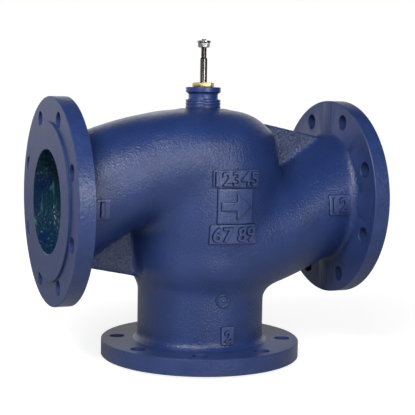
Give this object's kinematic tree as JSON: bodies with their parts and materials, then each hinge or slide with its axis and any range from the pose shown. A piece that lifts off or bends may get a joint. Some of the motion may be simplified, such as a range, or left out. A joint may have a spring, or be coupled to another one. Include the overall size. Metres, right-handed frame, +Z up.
{
  "type": "three-way globe valve",
  "caption": "Cast three-way globe valve with three flanged ports and a plug on a rising stem, for mixing or diverting a flow between a side port and the bottom port.",
  "frame": {"origin": "centre of port B's raised face, under the stem, where the valve stands", "axes": "+Z up the stem, +X out of port AB, -X out of port A, port B opens down"},
  "size_m": [0.4, 0.25, 0.3982],
  "materials": {
    "casting_paint": "deep blue stoved paint with an orange-peel skin over a sand casting",
    "neck_paint": "the same paint over a turned surface",
    "brass": "machined",
    "steel": "turned bright",
    "plug_metal": "machined",
    "white_seal": "satin",
    "black_seal": "matt"
  },
  "bodies": {
    "valve": {"body_casting": "casting_paint", "upper_seat_gasket": "white_seal", "upper_seat_ring": "brass", "lower_seat_gasket": "white_seal", "lower_seat_ring": "brass", "neck_gasket": "black_seal", "neck": "neck_paint", "guide_bush": "brass", "packing_washer": "steel", "packing_ring_1": "white_seal", "packing_ring_2": "white_seal", "packing_ring_3": "white_seal", "packing_ring_4": "white_seal", "packing_follower": "brass", "gland_gasket": "black_seal", "gland_nut": "brass", "wiper_ring": "black_seal"},
    "stem_and_plug": {"stem": "steel", "plug": "plug_metal", "plug_upper_seal": "white_seal", "plug_lower_seal": "white_seal", "plug_washer": "steel", "plug_nut": "steel", "stem_flange_nut": "steel"}
  },
  "joints": [
    {"name": "stem_lift", "type": "slide", "parent": "valve", "child": "stem_and_plug", "axis": [0, 0, 1], "range_m": [0, 0.04]}
  ]
}
